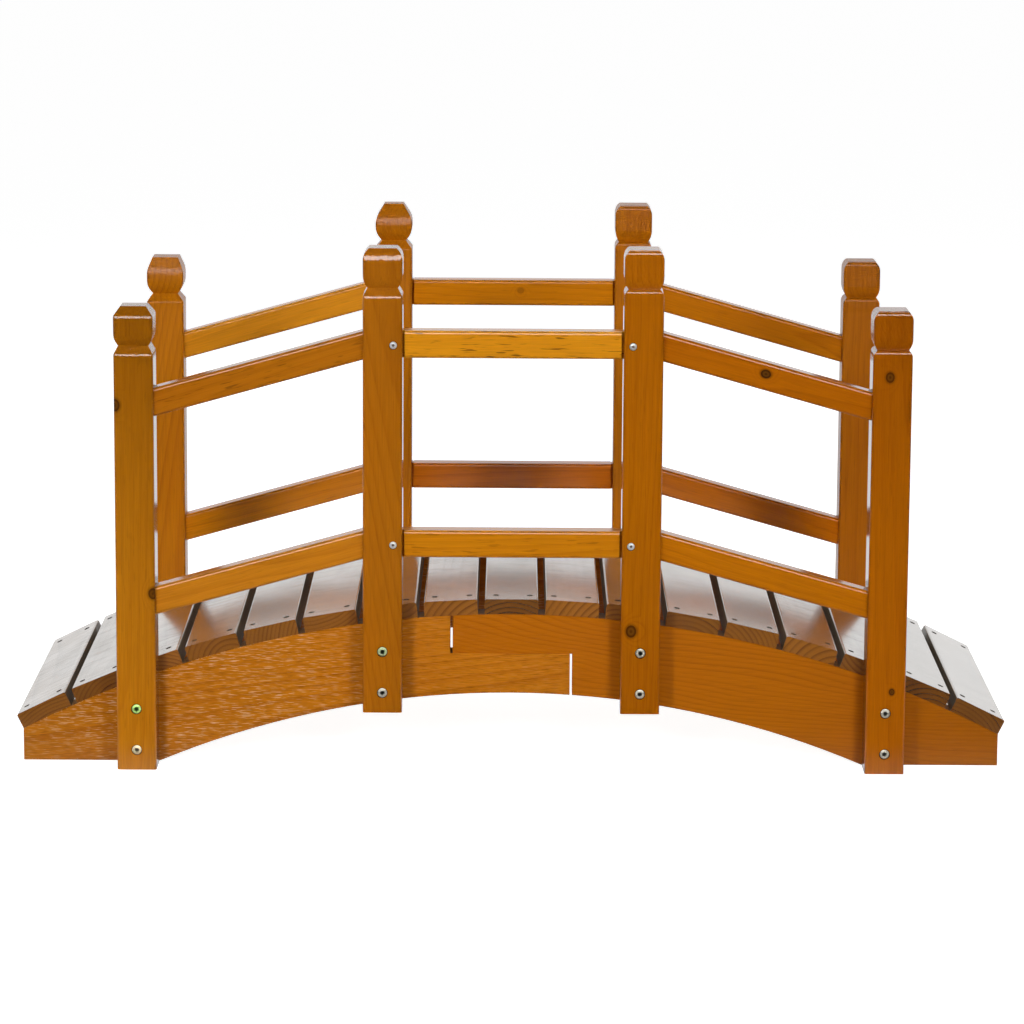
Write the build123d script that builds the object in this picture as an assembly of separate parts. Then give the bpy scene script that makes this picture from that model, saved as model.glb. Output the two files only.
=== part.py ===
"""Arched garden bridge, about five feet long, built from varnished softwood.

Two arched beams carry seventeen cross planks. Each beam is two halves that meet in a half-lap
at mid-span. Four square posts with shaped heads are bolted to the outside of each beam, and two
rails per bay are tenoned into them. The frame: X runs along the bridge, Y across it, Z up, with
the origin on the ground under the middle. All lengths are in millimetres.
"""

from build123d import *
from dataclasses import dataclass
import math
import os

# Beams: the upper edge carries the deck, the lower edge is the arch between the two feet.
beam_thickness = 45.0
deck_radius = 1625.0
deck_rise = 234.0
arch_radius = 1380.0
arch_rise = 110.5
beam_edge_ease = 1.2

# Half-lap that joins the two halves of a beam, measured between the middles of its end gaps.
lap_length = 184.0
lap_end_gap = 3.5

# Deck planks, laid flat on the upper edge of the beams.
plank_count = 17
plank_width = 82.5
plank_thickness = 23.5
plank_length = 544.0
plank_gap = 10.0
plank_edge_radius = 3.0

# Posts: square, bolted against the outer faces of the beams.
post_size = 60.0
post_edge_radius = 4.0
end_post_place = 572.0
middle_post_place = 196.5
end_post_height = 714.0
middle_post_height = 804.0

# Post heads: a square bulb over a waist. The slopes of the crown over the bulb and of the shoulder
# under the waist are given in each head's views below.
head_height = 59.5
head_underside = 10.8
head_underside_ease = 34.0

# Recesses for bolt heads in the outer faces of the posts: two at each post's foot, where it is
# bolted to the beam, and one over each loose tenon of the middle rails.
foot_bolt_height = 31.0
foot_bolt_spacing = 64.0
foot_bolt_recess = 16.5
tenon_bolt_recess = 12.5
recess_depth = 4.0

# Rails: level in the middle bay, sloping in the end bays, two in each bay.
rail_height = 42.0
rail_thickness = 36.0
rail_edge_radius = 5.0
upper_rail_level = 658.0
rail_spacing = 306.0
slope_start = 6.0
slope_fall = 105.0

# Tenons on the rails and their mortises in the posts. The middle rails are the loose ones, fitted
# last: their shoulders stand a little off the posts.
tenon_thickness = 20.0
tenon_length = 22.0
loose_tenon_length = 28.0
loose_shoulder_gap = 3.0
tenon_clearance = 0.2

# Places worked out from the sizes above.
deck_centre = deck_rise - deck_radius
arch_centre = arch_rise - arch_radius
lap_level = (deck_rise + arch_rise) / 2
beam_face = plank_length / 2
post_row = beam_face + post_size / 2
plank_turn = (plank_width + plank_gap) / deck_radius
last_turn = plank_turn * (plank_count - 1) / 2
beam_end = deck_radius * math.sin(last_turn) + plank_width / 2 * math.cos(last_turn)
lower_rail_level = upper_rail_level - rail_spacing
post_places = (-end_post_place, -middle_post_place, middle_post_place, end_post_place)
post_names = ("end_left", "middle_left", "middle_right", "end_right")


@dataclass(frozen=True)
class HeadView:
    """What a post's head looks like from one pair of its sides.

    The crown slopes from the flat top down to the side of the bulb, and the shoulder slopes from
    the waist down to the side of the shaft. Each slope is rounded into the side below it.
    """

    waist: float
    flat: float
    crown: float
    crown_ease: float
    shoulder: float
    shoulder_ease: float


# The heads were shaped by hand, so they differ: from the front and from the end of the bridge,
# each post shows one of these views.
sharp = HeadView(waist=46, flat=38.5, crown=14.5, crown_ease=10, shoulder=13.5, shoulder_ease=8)
even = HeadView(waist=46, flat=42, crown=9, crown_ease=22, shoulder=13.5, shoulder_ease=8)
tall = HeadView(waist=40.5, flat=42, crown=22, crown_ease=38, shoulder=13, shoulder_ease=4)
narrow = HeadView(waist=39, flat=31, crown=24, crown_ease=36, shoulder=13.5, shoulder_ease=4)
full = HeadView(waist=48, flat=44, crown=8, crown_ease=20, shoulder=6, shoulder_ease=14)
square = HeadView(waist=48, flat=46, crown=2.5, crown_ease=5.5, shoulder=2, shoulder_ease=4.5)

# View from the front and view from the end of each post, from left to right.
front_heads = ((sharp, sharp), (even, even), (full, square), (full, square))
rear_heads = ((tall, tall), (narrow, narrow), (full, square), (full, square))


def side_plane(y):
    """Vertical plane facing the front: its own x runs along the bridge and its own y runs up."""
    return Plane(origin=(0, y, 0), x_dir=(1, 0, 0), z_dir=(0, -1, 0))


def box_between(x1, x2, z1, z2):
    """Flat rectangle between two places along the bridge and two heights."""
    return Pos((x1 + x2) / 2, (z1 + z2) / 2) * Rectangle(x2 - x1, z2 - z1)


def beam_outline():
    """Side view of a whole beam, cut off under the outer edges of the end planks."""
    blank = box_between(-beam_end, beam_end, 0, deck_rise)
    deck_curve = Pos(0, deck_centre) * Circle(deck_radius)
    arch_curve = Pos(0, arch_centre) * Circle(arch_radius)
    return (blank & deck_curve) - arch_curve


def beam_half(side, left):
    """One half of the beam on a side (-1 front, 1 rear), with its tongue of the half-lap."""
    near = (lap_length - lap_end_gap) / 2
    far = (lap_length + lap_end_gap) / 2
    if left:
        past_tongue = box_between(near, beam_end, 0, deck_rise)
        over_tongue = box_between(-far, beam_end, lap_level, deck_rise)
        outline = beam_outline() - past_tongue - over_tongue
    else:
        past_tongue = box_between(-beam_end, -near, 0, deck_rise)
        under_tongue = box_between(-beam_end, far, 0, lap_level)
        outline = beam_outline() - past_tongue - under_tongue
    inner_face = beam_face - beam_thickness
    start = -inner_face if side < 0 else beam_face
    half = extrude(side_plane(start) * outline, amount=beam_thickness)
    return chamfer(half.faces().filter_by(Axis.Y).edges(), beam_edge_ease)


def plank(index):
    """One deck plank with rounded top edges, flat on the curve of the beams, from the left end."""
    turn = math.degrees(index * plank_turn - last_turn)
    sawn = Rectangle(plank_width, plank_thickness)
    section = fillet(sawn.vertices().group_by(Axis.Y)[-1], plank_edge_radius)
    middle_radius = deck_radius + plank_thickness / 2
    place = Pos(0, deck_centre) * Rot(0, 0, -turn) * Pos(0, middle_radius)
    return extrude(side_plane(plank_length / 2) * place * section, amount=plank_length)


def post_outline(foot, height, view):
    """Upright view of a post whose head has one of the views above."""
    half = post_size / 2
    neck = height - head_height
    shoulder = neck - view.shoulder
    underside = neck + head_underside
    crown = height - view.crown
    right = [(half, foot), (half, shoulder), (view.waist / 2, neck)]
    right += [(half, underside), (half, crown), (view.flat / 2, height)]
    left = [(-x, z) for x, z in reversed(right)]
    outline = Polygon(*right, *left, align=None)
    outline = ease_corners(outline, shoulder, view.shoulder_ease)
    outline = ease_corners(outline, underside, head_underside_ease)
    return ease_corners(outline, crown, view.crown_ease)


def ease_corners(outline, level, radius):
    """Round off both corners of an upright view that lie at one height."""
    corners = outline.vertices().filter_by(lambda corner: math.isclose(corner.Y, level))
    return fillet(corners, radius)


def waste(outline):
    """Stock that is sawn away all round an upright view, right through the post."""
    stock = box_between(-post_size, post_size, -post_size, middle_post_height + post_size)
    return extrude(side_plane(0) * (stock - outline), amount=post_size, both=True)


def rail_run(start, end, section):
    """Bar of a section along a line from one (x, z) place to another, on the rails' own row."""
    direction = Vector(end[0] - start[0], 0, end[1] - start[1])
    start_plane = Plane(origin=(start[0], 0, start[1]), x_dir=(0, 1, 0), z_dir=direction)
    return extrude(start_plane * section, amount=direction.length)


def bay_line(bay, level):
    """Ends of a rail's centre line, at the middles of the two posts that carry it."""
    if bay == "middle":
        return (-middle_post_place, level), (middle_post_place, level)
    high = (middle_post_place, level + slope_start)
    low = (end_post_place, level + slope_start - slope_fall)
    if bay == "right":
        return high, low
    return (-low[0], low[1]), (-high[0], high[1])


def tenon_reach(bay):
    """How far the tenons of a bay's rails go into the posts."""
    return loose_tenon_length if bay == "middle" else tenon_length


def rail(side, bay, level):
    """One rail with a tenon at each end, on a side (-1 front, 1 rear)."""
    start, end = bay_line(bay, level)
    shoulder_gap = loose_shoulder_gap if bay == "middle" else 0
    body_start = start[0] + post_size / 2 + shoulder_gap
    body_end = end[0] - post_size / 2 - shoulder_gap
    tip_start = start[0] + post_size / 2 - tenon_reach(bay)
    tip_end = end[0] - post_size / 2 + tenon_reach(bay)
    body = rail_run(start, end, RectangleRounded(rail_thickness, rail_height, rail_edge_radius))
    tongue = rail_run(start, end, Rectangle(tenon_thickness, rail_height))
    body = body & upright_slab(body_start, body_end)
    tongue = tongue & upright_slab(tip_start, tip_end)
    return Pos(0, side * post_row, 0) * (body + tongue)


def upright_slab(x1, x2):
    """Block that keeps what lies between two places along the bridge."""
    return Pos((x1 + x2) / 2, 0, 0) * Box(x2 - x1, 4 * post_size, 4 * middle_post_height)


def mortises(place):
    """All the mortises of the post at one place, on the rails' own row."""
    section = Rectangle(tenon_thickness + 2 * tenon_clearance, rail_height + 2 * tenon_clearance)
    cuts = []
    for bay in ("left", "middle", "right"):
        for level in (lower_rail_level, upper_rail_level):
            start, end = bay_line(bay, level)
            if place not in (start[0], end[0]):
                continue
            toward = 1 if place == start[0] else -1
            face = place + toward * post_size / 2
            inside = face - toward * (tenon_reach(bay) + tenon_clearance)
            outside = face + toward * post_size
            slab = upright_slab(min(inside, outside), max(inside, outside))
            cuts.append(rail_run(start, end, section) & slab)
    return cuts


def bolt_recesses(side, place, foot):
    """Round recesses for the bolt heads in the outer face of the post at one place."""
    spots = [(place, foot + foot_bolt_height, foot_bolt_recess)]
    spots.append((place, foot + foot_bolt_height + foot_bolt_spacing, foot_bolt_recess))
    if abs(place) == middle_post_place:
        inward = -math.copysign(1, place)
        tenon_middle = place + inward * (post_size - loose_tenon_length) / 2
        spots.append((tenon_middle, lower_rail_level, tenon_bolt_recess))
        spots.append((tenon_middle, upper_rail_level, tenon_bolt_recess))
    face = side * post_size / 2
    deep = face - side * recess_depth
    drill = side_plane(max(face, deep))
    return [extrude(drill * Pos(x, z) * Circle(size / 2), amount=recess_depth) for x, z, size in spots]


def post(side, place, from_front, from_end):
    """One post on a side (-1 front, 1 rear): shaft, shaped head, mortises and bolt recesses."""
    at_end = abs(place) == end_post_place
    height = end_post_height if at_end else middle_post_height
    foot = 0
    if not at_end:
        outer_side = middle_post_place + post_size / 2
        foot = arch_centre + math.sqrt(arch_radius**2 - outer_side**2)
    shaft = extrude(RectangleRounded(post_size, post_size, post_edge_radius), amount=height)
    front_waste = waste(post_outline(foot, height, from_front))
    end_waste = Rot(0, 0, 90) * waste(post_outline(foot, height, from_end))
    shaped = Pos(place, 0, 0) * (shaft - front_waste - end_waste)
    for cut in mortises(place) + bolt_recesses(side, place, foot):
        shaped = shaped - cut
    return Pos(0, side * post_row, 0) * shaped


def save(shape, name):
    """Write one piece as its own STEP file."""
    export_step(shape, f"parts/{name}.step")


os.makedirs("parts", exist_ok=True)

for side, side_name, heads in ((-1, "front", front_heads), (1, "rear", rear_heads)):
    save(beam_half(side, left=True), f"{side_name}_beam_left")
    save(beam_half(side, left=False), f"{side_name}_beam_right")
    for place, post_name, views in zip(post_places, post_names, heads):
        save(post(side, place, *views), f"{side_name}_post_{post_name}")
    for bay in ("left", "middle", "right"):
        save(rail(side, bay, upper_rail_level), f"{side_name}_rail_{bay}_upper")
        save(rail(side, bay, lower_rail_level), f"{side_name}_rail_{bay}_lower")

for index in range(plank_count):
    save(plank(index), f"deck_plank_{index + 1:02d}")
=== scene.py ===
"""Varnished softwood garden bridge: the looks that go over its fixed frame.

The timbers keep the frame's own shapes and get a wood of their own each: growth rings round a
pith, fibres, stain, knots and varnish. The bolts, nuts and deck screws are new pieces. Lengths
are in metres throughout.
"""

import logging
import math
import random
from dataclasses import dataclass, field, replace
from enum import Enum
from typing import Callable, Mapping, Sequence, Union

import bmesh
import bpy
from bmesh.types import BMEdge
from bpy.types import Material, NodeSocket, Object, World
from mathutils import Matrix, Vector


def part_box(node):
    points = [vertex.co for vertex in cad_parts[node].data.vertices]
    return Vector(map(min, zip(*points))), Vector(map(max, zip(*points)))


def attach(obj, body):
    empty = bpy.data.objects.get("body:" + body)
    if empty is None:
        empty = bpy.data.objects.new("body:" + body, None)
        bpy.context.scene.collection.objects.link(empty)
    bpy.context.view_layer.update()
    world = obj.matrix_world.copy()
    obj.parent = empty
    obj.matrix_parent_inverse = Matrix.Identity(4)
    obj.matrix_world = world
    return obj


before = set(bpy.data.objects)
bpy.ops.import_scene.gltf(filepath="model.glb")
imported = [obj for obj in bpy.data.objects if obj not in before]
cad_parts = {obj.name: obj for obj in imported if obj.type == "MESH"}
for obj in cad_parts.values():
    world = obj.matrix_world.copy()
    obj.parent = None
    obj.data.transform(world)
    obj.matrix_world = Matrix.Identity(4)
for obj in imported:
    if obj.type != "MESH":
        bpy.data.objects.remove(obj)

log = logging.getLogger("garden_bridge")

Colour = tuple[float, float, float]

# Colours that lie over the stain; the ripples' streak colour is a painted highlight and the narrow
# faces' colour a painted shade.
RESIN = (0.06, 0.018, 0.001)
RIPPLE_GLINT = (0.88, 0.62, 0.32)
WEATHER = (0.17, 0.19, 0.05)
NARROW_SHADE_COLOUR = (0.042, 0.028, 0.006)
KNOT_PALE = (0.115, 0.040, 0.004)
KNOT_RIM = (0.035, 0.010, 0.001)
KNOT_HEART = (0.04, 0.012, 0.001)
KNOT_HALO = (0.035, 0.011, 0.001)
# How much the end grain and the fibres darken the wood, and how much painted shade the ripples'
# troughs get.
END_SHADE = 0.08
FIBRE_SHADE = 0.52
RIPPLE_SHADE = 0.38
# How high the ripples and the file's comb marks stand.
RIPPLE_HEIGHT = 0.00005
COMB_HEIGHT = 0.0007
# Slack on the radius of what is picked, and the dark of a growth ring from one edge to the other.
EASE = 1.01
RING_STEPS = ((0.0, 0.12), (0.45, 0.1), (0.78, 0.62), (0.92, 1.0), (1.0, 0.12))


def math_method(operation: str, swapped: bool = False) -> Callable[["Link", "Operand"], "Link"]:
    """Make a method that puts a link and another value through a Math node.

    Args:
        operation: Name of the node's operation.
        swapped: Whether the other value comes first.

    Returns:
        The method.
    """

    def method(self: "Link", other: "Operand") -> "Link":
        """Math node of both values."""
        return self.sheet.maths(operation, *((other, self) if swapped else (self, other)))

    return method


class Link:
    """A number or colour that a node gives out, for use in Python sums.

    Args:
        sheet: The node sheet that the node stands on.
        socket: The output socket.
    """

    __add__ = __radd__ = math_method("ADD")
    __sub__ = math_method("SUBTRACT")
    __rsub__ = math_method("SUBTRACT", swapped=True)
    __mul__ = __rmul__ = math_method("MULTIPLY")
    __truediv__ = math_method("DIVIDE")

    def __init__(self, sheet: "NodeSheet", socket: NodeSocket) -> None:
        self.sheet = sheet
        self.socket = socket

    def maths(self, operation: str, *others: "Operand") -> "Link":
        """Math node of this value and others."""
        return self.sheet.maths(operation, self, *others)

    def fade(self, low: float, high: float) -> "Link":
        """Smooth step that runs from 0 at one value to 1 at another.

        Args:
            low: The value that gives 0.
            high: The value that gives 1, which may be the smaller one.

        Returns:
            The step.
        """
        return self.sheet.add(
            "MapRange",
            {"Value": self, "From Min": low, "From Max": high},
            "Result",
            interpolation_type="SMOOTHSTEP",
        )


Operand = Union[Link, float]
Given = Union[Link, float, Sequence[float]]


class NodeSheet:
    """The node tree of a material or of the world.

    Args:
        owner: The material or world, whose tree is emptied.
    """

    def __init__(self, owner: Union[Material, World]) -> None:
        owner.use_nodes = True
        self.tree = owner.node_tree
        self.tree.nodes.clear()

    def add(
        self,
        kind: str,
        inputs: Mapping[Union[int, str], Given],
        out: Union[int, str] = 0,
        **settings: str,
    ) -> Link:
        """Add a node.

        Args:
            kind: The node's type, without the ShaderNode that all start with.
            inputs: Values or links for its sockets, by name or number.
            out: The output that is wanted, by name or number.
            settings: Its own settings, set before its inputs.

        Returns:
            The output.
        """
        node = self.tree.nodes.new(f"ShaderNode{kind}")
        for name, setting in settings.items():
            setattr(node, name, setting)
        for name, given in inputs.items():
            if isinstance(given, Link):
                self.tree.links.new(given.socket, node.inputs[name])
            else:
                node.inputs[name].default_value = given
        return Link(self, node.outputs[out])

    def close(self, kind: str, surface: Link) -> None:
        """End the tree in an output node of a kind."""
        end = self.tree.nodes.new(f"ShaderNode{kind}")
        self.tree.links.new(surface.socket, end.inputs["Surface"])

    def maths(self, operation: str, *operands: Operand) -> Link:
        """Math node of up to three values."""
        return self.add("Math", dict(enumerate(operands)), operation=operation)

    def noise(self, vector: Link, detail: float, roughness: float = 0.5) -> Link:
        """Noise from 0 to 1 that varies once or so over each unit of a vector."""
        inputs = {"Vector": vector, "Scale": 1.0, "Detail": detail, "Roughness": roughness}
        return self.add("TexNoise", inputs, noise_dimensions="3D")

    def stretch(self, vector: Link, factors: Sequence[float]) -> Link:
        """Vector multiplied by a number along each axis."""
        return self.add("VectorMath", {0: vector, 1: factors}, operation="MULTIPLY")

    def parts(self, vector: Link) -> tuple[Link, ...]:
        """The three numbers of a vector."""
        node = self.add("SeparateXYZ", {0: vector}).socket.node
        return tuple(Link(self, out) for out in node.outputs)

    def ramp(self, value: Link, stops: Sequence[tuple[float, float]]) -> Link:
        """Grey level that a colour ramp gives to a value.

        Args:
            value: The value, from 0 to 1.
            stops: Place and level of each stop, from low to high.

        Returns:
            The level.
        """
        level = self.add("ValToRGB", {0: value})
        elements = level.socket.node.color_ramp.elements
        while len(elements) < len(stops):
            elements.new(1.0)
        for element, (place, grey) in zip(elements, stops):
            element.position = place
            element.color = (grey, grey, grey, 1.0)
        return level

    def shade(self, colour: Link, factor: Operand) -> Link:
        """Colour made darker or lighter by a factor."""
        inputs = {0: colour, "Scale": factor}
        return self.add("VectorMath", inputs, operation="SCALE")

    def mix(self, first: Given, second: Given, share: Operand) -> Link:
        """Colour between two colours.

        Args:
            first: The colour where the share is 0.
            second: The colour where the share is 1.
            share: The second colour's share.

        Returns:
            The mixed colour.
        """
        ends = {6: first, 7: second}
        given = {k: v if isinstance(v, Link) else (*v, 1.0) for k, v in ends.items()}
        return self.add("Mix", {0: share, **given}, 2, data_type="RGBA")


class Grain(Enum):
    """Which way a board's grain runs."""

    UPRIGHT = "upright"
    ALONG = "along the bridge"
    ACROSS = "across the bridge"


class Waves(Enum):
    """How many waves of noise a metre holds across, through and along a board."""

    FIBRE = (620.0, 620.0, 15.0)
    PATCHES = (11.0, 11.0, 3.5)
    DULLNESS = (17.0, 17.0, 8.0)
    FLECKS = (420.0, 420.0, 34.0)
    RING_BENDS = (7.0, 7.0, 2.2)
    RING_EDGES = (55.0, 55.0, 11.0)
    BRUSH_MARKS = (430.0, 430.0, 260.0)
    COMB_MARKS = (320.0, 320.0, 110.0)
    PLANE_MARKS = (15.0, 15.0, 80.0)
    RIPPLES = (1000.0, 1000.0, 58.0)
    RIPPLE_SPREAD = (9.0, 9.0, 4.0)


@dataclass(frozen=True)
class Knot:
    """A knot that runs through a board from its face.

    Attributes:
        across: Place across the board's face, from its middle.
        along: Place along the grain, from the board's middle.
        radius: Its radius.
        dark: How much it stands out from the wood round it.
    """

    across: float
    along: float
    radius: float
    dark: float = 1.0


@dataclass(frozen=True)
class Stain:
    """The colours that one batch of timber took from its stain.

    Attributes:
        early: Pale wood of a ring.
        late: Dark wood of a ring.
        warm: Redder tint of the patches that took more stain.
    """

    early: Colour
    late: Colour
    warm: Colour


@dataclass(frozen=True)
class Varnish:
    """A clear finish.

    Attributes:
        ior: How strongly it mirrors.
        roughness: Roughness where it lies even.
        uneven: How much rougher its dull patches are.
        relief: How far the fibres stand up through it.
        peel: Height of the brush's waves in it.
        coat: Weight of the hard top coat.
        coat_roughness: Its roughness.
        coat_ior: How strongly it mirrors.
        worn: Share of the top coat that is missing in patches and on the late wood.
        chatter: How much of that also goes in the marks the plane left across the grain.
    """

    ior: float = 1.6
    roughness: float = 0.07
    uneven: float = 0.02
    relief: float = 0.000009
    peel: float = 0.00001
    coat: float = 0.0
    coat_roughness: float = 0.05
    coat_ior: float = 1.5
    worn: float = 0.0
    chatter: float = 0.0


@dataclass(frozen=True)
class Board:
    """How one timber was cut from its log and how it was planed.

    Attributes:
        node: Name of the timber.
        tone: Factors on the stain's red, green and blue for this board.
        seed: Number that makes its noise its own.
        ring: Width of a growth ring.
        pith: Place of the pith across and through the board, from its middle.
        contrast: How strongly the rings show.
        lean: Slope of the grain across and through the board.
        wander: How far the rings wander.
        fall: How much the wood darkens and reddens along the grain, per metre.
        slant: How much it darkens across the board, per metre.
        narrow_shade: How much painted shade darkens its narrow faces, which lie in the gaps and
            under the planks, and how much duller they are.
        greyed: How far the weather has greyed all but its ends.
        flecks: How dark the short resin flecks along the grain are.
        ripple: How strongly the planed surface ripples, in bumps, painted highlight streaks on the
            crests and painted shade in the troughs.
        smooth_from: Place along the grain past which the ripple has died out.
        combed_from: Place along the grain past which the file left comb marks, if any.
        knots: Its knots.
    """

    node: str
    tone: Colour
    seed: int
    ring: float
    pith: tuple[float, float]
    contrast: float = 0.5
    lean: tuple[float, float] = (0.0, 0.02)
    wander: float = 0.012
    fall: float = 0.0
    slant: float = 0.0
    narrow_shade: float = 0.0
    greyed: float = 0.0
    flecks: float = 0.15
    ripple: float = 0.0
    smooth_from: float = 1.0
    combed_from: Union[float, None] = None
    knots: tuple[Knot, ...] = ()

    def tint(self, colour: Colour) -> Colour:
        """What a colour of the stain becomes on this board."""
        return tuple(c * t for c, t in zip(colour, self.tone))


def middle_of(node: str) -> Vector:
    """Middle of a timber's box."""
    low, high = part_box(node)
    return (low + high) / 2


class BoardSheet(NodeSheet):
    """The node tree of one board's wood, with the place in the board at hand.

    Args:
        owner: The material.
        board: The board.
        axes: Rows are its across, through and along axes.
    """

    def __init__(self, owner: Material, board: Board, axes: Matrix) -> None:
        super().__init__(owner)
        self.axes = axes
        self.shift = tuple(board.seed * step for step in (3.7, 1.3, 7.1))
        source = self.add("TexCoord", {}, "Object")
        self.normal = Link(self, source.socket.node.outputs["Normal"])
        location, rotation = -(axes @ middle_of(board.node)), axes.to_euler()
        inputs = {"Vector": source, "Location": tuple(location), "Rotation": tuple(rotation)}
        self.place = self.add("Mapping", inputs, vector_type="POINT")
        self.across, self.through, self.along = self.parts(self.place)

    def own_noise(self, waves: Waves, detail: float = 1.0) -> Link:
        """Noise of this board alone."""
        moved = {0: self.place, 1: waves.value, 2: self.shift}
        place = self.add("VectorMath", moved, operation="MULTIPLY_ADD")
        return self.noise(place, detail)

    def looks_along(self, axis: int) -> Link:
        """1 on the faces that look along one of the board's axes, 0 on the others."""
        ways = {0: self.normal, 1: tuple(self.axes[axis])}
        share = self.add("VectorMath", ways, "Value", operation="DOT_PRODUCT")
        return share.maths("ABSOLUTE").fade(0.75, 0.95)


@dataclass(frozen=True)
class WoodFinish:
    """Stained and varnished wood for one board.

    Attributes:
        stain: Its colours.
        varnish: Its clear finish.
        board: How the board was cut.
        axes: Rows are the board's across, through and along axes.
    """

    stain: Stain
    varnish: Varnish
    board: Board
    axes: Matrix

    def wear(self) -> None:
        """Give the board's timber the material."""
        material = self.material()
        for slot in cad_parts[self.board.node].material_slots:
            slot.material = material
        log.info("%s: wood", material.name)

    def material(self) -> Material:
        """Build the material.

        Returns:
            The material.
        """
        board, varnish = self.board, self.varnish
        made = bpy.data.materials.new(board.node)
        sheet = BoardSheet(made, board, self.axes)
        late, wood = self._rings(sheet)
        fibre = sheet.noise(sheet.stretch(sheet.place, Waves.FIBRE.value), 3.0, 0.6)
        wood = self._stained(sheet, wood, fibre)
        for knot in board.knots:
            wood = self._knotted(sheet, wood, knot)
        ends = sheet.looks_along(2)
        # Painted shade: the narrow faces, in the gaps and under the planks, are darkened towards a
        # shade colour, and also dulled.
        narrow_shade = sheet.looks_along(0) * board.narrow_shade
        wood = sheet.shade(wood, 1.0 - ends * END_SHADE)
        wood = sheet.mix(wood, WEATHER, (1.0 - ends) * board.greyed)
        wood = sheet.mix(wood, NARROW_SHADE_COLOUR, narrow_shade)
        height = self._relief(sheet, fibre, late)
        if board.ripple:
            # Painted highlight streaks on the ripples' crests and painted shade in their troughs;
            # the height is a real bump.
            ripple, ripple_glint = self._ripple(sheet)
            wood = sheet.mix(wood, RIPPLE_GLINT, ripple_glint)
            wood = sheet.shade(wood, 1.0 - ripple.fade(0.46, 0.30) * (RIPPLE_SHADE * board.ripple))
            height = height + ripple * (RIPPLE_HEIGHT * board.ripple)
        worn = sheet.own_noise(Waves.DULLNESS, 2.0).fade(0.25, 0.8)
        if varnish.chatter:
            marks = sheet.own_noise(Waves.PLANE_MARKS, 2.0)
            worn = worn + marks.fade(0.46, 0.72) * varnish.chatter
        shader = sheet.add(
            "BsdfPrincipled",
            {
                "Base Color": wood,
                "Roughness": worn * varnish.uneven + narrow_shade * 0.7 + varnish.roughness,
                "IOR": varnish.ior,
                "Coat Weight": self._coat(worn, late, narrow_shade),
                "Coat Roughness": varnish.coat_roughness,
                "Coat IOR": varnish.coat_ior,
                "Normal": sheet.add("Bump", {"Strength": 1.0, "Distance": 1.0, "Height": height}),
            },
        )
        sheet.close("OutputMaterial", shader)
        return made

    def _rings(self, sheet: BoardSheet) -> tuple[Link, Link]:
        """Growth rings round the pith, pushed aside by the knots.

        Args:
            sheet: The sheet.

        Returns:
            How dark the ring is, from 0 to 1, and the wood's colour.
        """
        board = self.board
        slow = sheet.own_noise(Waves.RING_BENDS) - 0.5
        quick = sheet.own_noise(Waves.RING_EDGES) - 0.5
        aside = sheet.across - board.pith[0] + sheet.along * board.lean[0]
        aside = aside + slow * (board.wander * 2.0)
        deep = sheet.through - board.pith[1] + sheet.along * board.lean[1]
        distance = (aside * aside + deep * deep).maths("SQRT")
        for knot in board.knots:
            distance = distance + self._radii(sheet, knot).fade(3.4, 0.6) * (knot.radius * 1.9)
        count = (distance + slow * board.wander + quick * 0.0016) / board.ring
        number = sheet.add(
            "TexWhiteNoise",
            {"W": count.maths("FLOOR") + float(board.seed)},
            "Value",
            noise_dimensions="1D",
        )
        late = sheet.ramp(count.maths("FRACT"), RING_STEPS) * (number * 0.6 + 0.4)
        early_tone, late_tone = board.tint(self.stain.early), board.tint(self.stain.late)
        return late, sheet.mix(early_tone, late_tone, late * board.contrast)

    def _stained(self, sheet: BoardSheet, wood: Link, fibre: Link) -> Link:
        """Wood with the stain's patches, its fall along and across the board, and resin flecks.

        Args:
            sheet: The sheet.
            wood: Colour of the rings.
            fibre: The fibres, from 0 to 1.

        Returns:
            The colour.
        """
        board = self.board
        fall = sheet.along * board.fall
        patches = sheet.own_noise(Waves.PATCHES, 2.0).fade(0.3, 0.8)
        wood = sheet.mix(wood, board.tint(self.stain.warm), patches * 0.5 + fall)
        wood = sheet.shade(wood, (fibre * FIBRE_SHADE + (1.0 - FIBRE_SHADE / 2)) * (1.0 - fall))
        wood = sheet.shade(wood, 1.0 - sheet.across * board.slant)
        flecks = sheet.own_noise(Waves.FLECKS).fade(0.62, 0.74)
        return sheet.mix(wood, RESIN, flecks * board.flecks)

    @staticmethod
    def _radii(sheet: BoardSheet, knot: Knot) -> Link:
        """Distance from a knot's middle in knot radii."""
        sideways = sheet.across - knot.across
        lengthways = (sheet.along - knot.along) * 0.82
        squares = sideways * sideways + lengthways * lengthways
        return squares.maths("SQRT") / knot.radius

    def _knotted(self, sheet: BoardSheet, wood: Link, knot: Knot) -> Link:
        """Wood with a knot in it: small dark rings in a dark halo.

        Args:
            sheet: The sheet.
            wood: Colour of the wood round the knot.
            knot: The knot.

        Returns:
            The colour.
        """
        radii = self._radii(sheet, knot)
        wood = sheet.mix(wood, KNOT_HALO, radii.fade(1.6, 1.0) * (knot.dark * 0.5))
        core = sheet.mix(KNOT_PALE, KNOT_RIM, radii.fade(0.45, 0.85))
        core = sheet.mix(core, KNOT_HEART, radii.fade(0.45, 0.1) * 0.8)
        return sheet.mix(wood, core, radii.fade(1.08, 0.92) * knot.dark)

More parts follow.
